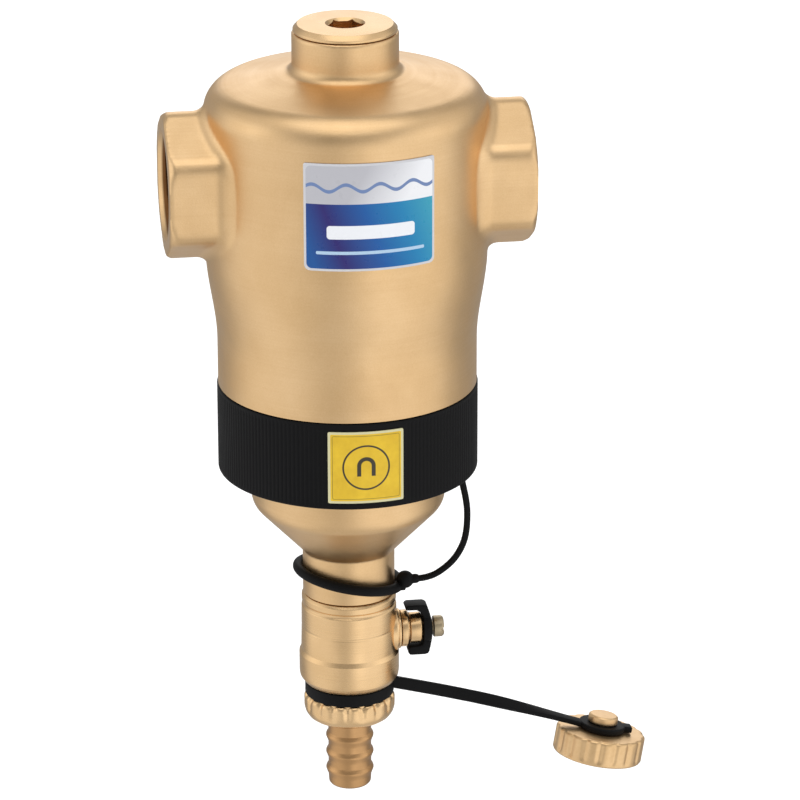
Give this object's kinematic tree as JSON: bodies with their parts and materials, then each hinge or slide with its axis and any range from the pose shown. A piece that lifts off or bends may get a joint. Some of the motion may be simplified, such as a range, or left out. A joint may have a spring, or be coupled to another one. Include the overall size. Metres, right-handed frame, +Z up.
{
  "type": "magnetic system filter",
  "caption": "Brass magnetic dirt separator with opposed pipe ports, removable magnet collar, drain cock, hose tail and tethered cap.",
  "frame": {"origin": "where the pipe port axis crosses the axis of the round body", "axes": "+X along the ports towards the drain handle side, +Z up the body towards the top plug, -Y towards the front label"},
  "size_m": [0.1517, 0.087, 0.252],
  "materials": {
    "cast_brass": "blasted satin brass casting",
    "turned_brass": "turned brass, fine tool lines",
    "black_plastic": "moulded, satin",
    "grey_plastic": "moulded, matte",
    "seat_plastic": "machined sealing plastic",
    "seal_rubber": "moulded rubber",
    "magnet_steel": "nickel plated",
    "blue_label": "printed film",
    "yellow_label": "printed film"
  },
  "bodies": {
    "separator": {"upper_body": "cast_brass", "top_plug": "turned_brass", "plug_seal": "seal_rubber", "front_label": "blue_label", "filter_element": "grey_plastic", "lower_chamber": "cast_brass", "chamber_o_ring": "seal_rubber", "neck_loop": "black_plastic", "tether_cord": "black_plastic", "valve_body": "turned_brass", "seat_upper": "seat_plastic", "seat_lower": "seat_plastic", "seat_retainer": "turned_brass", "packing_ring": "seat_plastic", "gland_nut": "turned_brass", "hose_washer": "seal_rubber", "hose_tail": "turned_brass"},
    "magnet_collar": {"magnet_ring": "black_plastic", "magnet_ring_cover": "black_plastic", "ring_label": "yellow_label", "magnet_1": "magnet_steel", "magnet_2": "magnet_steel", "magnet_3": "magnet_steel", "magnet_4": "magnet_steel", "magnet_5": "magnet_steel", "magnet_6": "magnet_steel", "magnet_7": "magnet_steel", "magnet_8": "magnet_steel"},
    "valve_stem": {"valve_ball": "turned_brass", "spindle": "turned_brass", "handle": "black_plastic", "handle_screw": "turned_brass"},
    "union_nut": {"hose_nut": "turned_brass"},
    "strap": {"cap_strap": "black_plastic"},
    "cap": {"drain_cap": "turned_brass", "cap_gasket": "seal_rubber"}
  },
  "joints": [
    {"name": "collar_slide", "type": "slide", "parent": "separator", "child": "magnet_collar", "axis": [0, 0, -1], "range_m": [0, 0.025], "deforming": ["tether_cord"]},
    {"name": "valve_turn", "type": "hinge", "parent": "separator", "child": "valve_stem", "pos_m": [0, 0, -0.1509], "axis": [1, 0, 0], "range_deg": [0, 90]},
    {"name": "nut_spin", "type": "hinge", "parent": "separator", "child": "union_nut", "pos_m": [0, 0, -0.176], "axis": [0, 0, 1], "continuous": true},
    {"name": "strap_swivel", "type": "hinge", "parent": "separator", "child": "strap", "pos_m": [0, 0, -0.1691], "axis": [0, 0, 1], "continuous": true},
    {"name": "cap_spin", "type": "hinge", "parent": "strap", "child": "cap", "pos_m": [0.082, 0, -0.1893], "axis": [0.1822, 0.0857, 0.9795], "continuous": true}
  ]
}
